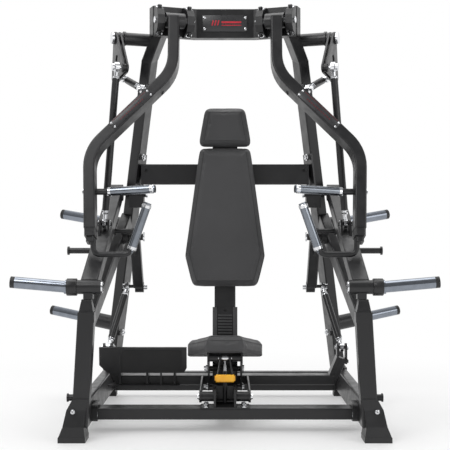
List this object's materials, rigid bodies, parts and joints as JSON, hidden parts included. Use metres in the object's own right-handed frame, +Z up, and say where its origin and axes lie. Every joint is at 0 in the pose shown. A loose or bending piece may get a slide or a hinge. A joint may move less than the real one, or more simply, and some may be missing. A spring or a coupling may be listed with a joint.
{
  "type": "chest press machine",
  "caption": "Plate-loaded chest press: swinging press arms lift low weight arms through cranks and rods, with a height-adjusting seat, leaning back pad and foot-assist lever.",
  "frame": {"origin": "centre of the footprint on the floor", "axes": "+Z up; -Y is the front, where the user faces; +X to the left of the seated user"},
  "size_m": [1.8638, 1.216, 1.9293],
  "materials": {
    "frame_paint": "matt powder coat",
    "cover_paint": "satin",
    "pad": "stitched grey upholstery",
    "steel": "polished sleeves",
    "grip_steel": "satin grips",
    "chrome": "polished",
    "rubber": "matt",
    "handle": "gloss",
    "gas_spring": "satin"
  },
  "bodies": {
    "frame": {"side_rail_l": "frame_paint", "side_rail_r": "frame_paint", "foot_cover_l": "cover_paint", "foot_cover_r": "cover_paint", "rubber_feet": "rubber", "front_post_l": "frame_paint", "front_post_r": "frame_paint", "bumpers": "rubber", "slope_tube_l": "frame_paint", "slope_tube_r": "frame_paint", "front_crossbar": "frame_paint", "rear_base_bar": "frame_paint", "spine_tube": "frame_paint", "upright_l": "frame_paint", "upright_r": "frame_paint", "mid_crossbar": "frame_paint", "head_beam": "frame_paint", "pivot_clamps": "frame_paint", "crank_stub_l": "frame_paint", "crank_stub_r": "frame_paint", "upper_horn_l": "steel", "upper_horn_r": "steel", "lower_horn_l": "steel", "lower_horn_r": "steel", "lever_shaft_l": "frame_paint", "lever_shaft_r": "frame_paint", "backrest_post": "frame_paint", "backrest_pad": "pad", "headrest_pad": "pad", "gas_cylinder": "gas_spring"},
    "press_arm_l": {"press_arm_l": "frame_paint", "upper_grip_l": "grip_steel", "loop_grip_l": "grip_steel"},
    "bell_crank_l": {"bell_crank_l": "frame_paint"},
    "short_link_l": {"short_link_l": "chrome"},
    "weight_arm_l": {"weight_arm_l": "frame_paint", "load_horn_l": "steel"},
    "rod_ball_l": {"rod_ball_l": "chrome"},
    "long_rod_l": {"long_rod_l": "chrome"},
    "pedal_link_l": {"pedal_link_l": "chrome"},
    "rocker_l": {"rocker_l": "frame_paint"},
    "press_arm_r": {"press_arm_r": "frame_paint", "upper_grip_r": "grip_steel", "loop_grip_r": "grip_steel"},
    "bell_crank_r": {"bell_crank_r": "frame_paint"},
    "short_link_r": {"short_link_r": "chrome"},
    "weight_arm_r": {"weight_arm_r": "frame_paint", "load_horn_r": "steel"},
    "rod_ball_r": {"rod_ball_r": "chrome"},
    "long_rod_r": {"long_rod_r": "chrome"},
    "pedal_link_r": {"pedal_link_r": "chrome"},
    "rocker_r": {"rocker_r": "frame_paint"},
    "foot_lever": {"foot_lever": "frame_paint", "foot_pedal": "frame_paint"},
    "seat": {"seat_carriage": "frame_paint", "seat_pad": "pad"},
    "seat_handle": {"seat_handle": "handle"}
  },
  "joints": [
    {"name": "press_arm_hinge_l", "type": "hinge", "parent": "frame", "child": "press_arm_l", "pos_m": [-0.235, -0.135, 1.857], "axis": [-0.9397, -0.342, 0], "range_deg": [0, 20]},
    {"name": "bell_crank_hinge_l", "type": "hinge", "parent": "frame", "child": "bell_crank_l", "pos_m": [-0.50243, -0.07271, 1.787], "axis": [-0.9397, -0.342, 0], "range_deg": [0, 32.13]},
    {"name": "short_link_hinge_l", "type": "hinge", "parent": "bell_crank_l", "child": "short_link_l", "pos_m": [-0.48135, -0.02247, 1.607], "axis": [-0.9397, -0.342, 0], "range_deg": [-24.49, 0]},
    {"name": "weight_arm_hinge_l", "type": "hinge", "parent": "frame", "child": "weight_arm_l", "pos_m": [-0.538, 0.15, 1.069], "axis": [-1, 0, 0], "range_deg": [0, 14.79]},
    {"name": "rod_ball_hinge_l", "type": "hinge", "parent": "weight_arm_l", "child": "rod_ball_l", "pos_m": [-0.551, -0.2, 0.917], "axis": [-1, 0, 0], "range_deg": [-17.54, 0]},
    {"name": "long_rod_hinge_l", "type": "hinge", "parent": "rod_ball_l", "child": "long_rod_l", "pos_m": [-0.551, -0.2, 0.917], "axis": [0, 1, 0], "range_deg": [0, 2.01]},
    {"name": "press_arm_hinge_r", "type": "hinge", "parent": "frame", "child": "press_arm_r", "pos_m": [0.235, -0.135, 1.857], "axis": [-0.9397, 0.342, 0], "range_deg": [0, 20]},
    {"name": "bell_crank_hinge_r", "type": "hinge", "parent": "frame", "child": "bell_crank_r", "pos_m": [0.50243, -0.07271, 1.787], "axis": [-0.9397, 0.342, 0], "range_deg": [0, 32.13]},
    {"name": "short_link_hinge_r", "type": "hinge", "parent": "bell_crank_r", "child": "short_link_r", "pos_m": [0.48135, -0.02247, 1.607], "axis": [-0.9397, 0.342, 0], "range_deg": [-24.49, 0]},
    {"name": "weight_arm_hinge_r", "type": "hinge", "parent": "frame", "child": "weight_arm_r", "pos_m": [0.538, 0.15, 1.069], "axis": [-1, 0, 0], "range_deg": [0, 14.79]},
    {"name": "rod_ball_hinge_r", "type": "hinge", "parent": "weight_arm_r", "child": "rod_ball_r", "pos_m": [0.551, -0.2, 0.917], "axis": [-1, 0, 0], "range_deg": [-17.54, 0]},
    {"name": "long_rod_hinge_r", "type": "hinge", "parent": "rod_ball_r", "child": "long_rod_r", "pos_m": [0.551, -0.2, 0.917], "axis": [0, -1, 0], "range_deg": [0, 2.01]},
    {"name": "foot_lever_hinge", "type": "hinge", "parent": "frame", "child": "foot_lever", "pos_m": [0, -0.34, 0.15], "axis": [-1, 0, 0], "range_deg": [0, 5], "stiffness_Nm_per_rad": 900, "springref_deg": -20.05},
    {"name": "pedal_link_hinge_l", "type": "hinge", "parent": "foot_lever", "child": "pedal_link_l", "pos_m": [-0.564, 0.06, 0.319], "axis": [-1, 0, 0], "range_deg": [-14.6, 0]},
    {"name": "rocker_hinge_l", "type": "hinge", "parent": "frame", "child": "rocker_l", "pos_m": [-0.437, 0.073, 0.852], "axis": [-1, 0, 0], "range_deg": [0, 8.09]},
    {"name": "pedal_link_hinge_r", "type": "hinge", "parent": "foot_lever", "child": "pedal_link_r", "pos_m": [0.564, 0.06, 0.319], "axis": [-1, 0, 0], "range_deg": [-14.6, 0]},
    {"name": "rocker_hinge_r", "type": "hinge", "parent": "frame", "child": "rocker_r", "pos_m": [0.437, 0.073, 0.852], "axis": [-1, 0, 0], "range_deg": [0, 8.09]},
    {"name": "seat_slide", "type": "slide", "parent": "frame", "child": "seat", "axis": [0, 0.1132, 0.9936], "range_m": [0, 0.09]},
    {"name": "seat_handle_hinge", "type": "hinge", "parent": "seat", "child": "seat_handle", "pos_m": [0, -0.26228, 0.3098], "axis": [1, 0, 0], "range_deg": [-12, 0], "stiffness_Nm_per_rad": 3, "springref_deg": 20.05}
  ],
  "couplings": [
    {"joint": "bell_crank_hinge_l", "follows": "press_arm_hinge_l", "ratio": 1.5991},
    {"joint": "short_link_hinge_l", "follows": "press_arm_hinge_l", "ratio": -1.217},
    {"joint": "weight_arm_hinge_l", "follows": "press_arm_hinge_l", "ratio": 0.73195},
    {"joint": "rod_ball_hinge_l", "follows": "press_arm_hinge_l", "ratio": -0.86967},
    {"joint": "long_rod_hinge_l", "follows": "press_arm_hinge_l", "ratio": 0.09282},
    {"joint": "bell_crank_hinge_r", "follows": "press_arm_hinge_r", "ratio": 1.5991},
    {"joint": "short_link_hinge_r", "follows": "press_arm_hinge_r", "ratio": -1.217},
    {"joint": "weight_arm_hinge_r", "follows": "press_arm_hinge_r", "ratio": 0.73195},
    {"joint": "rod_ball_hinge_r", "follows": "press_arm_hinge_r", "ratio": -0.86967},
    {"joint": "long_rod_hinge_r", "follows": "press_arm_hinge_r", "ratio": 0.09282},
    {"joint": "pedal_link_hinge_l", "follows": "foot_lever_hinge", "ratio": -2.8895},
    {"joint": "rocker_hinge_l", "follows": "foot_lever_hinge", "ratio": 1.5889},
    {"joint": "pedal_link_hinge_r", "follows": "foot_lever_hinge", "ratio": -2.8895},
    {"joint": "rocker_hinge_r", "follows": "foot_lever_hinge", "ratio": 1.5889}
  ]
}
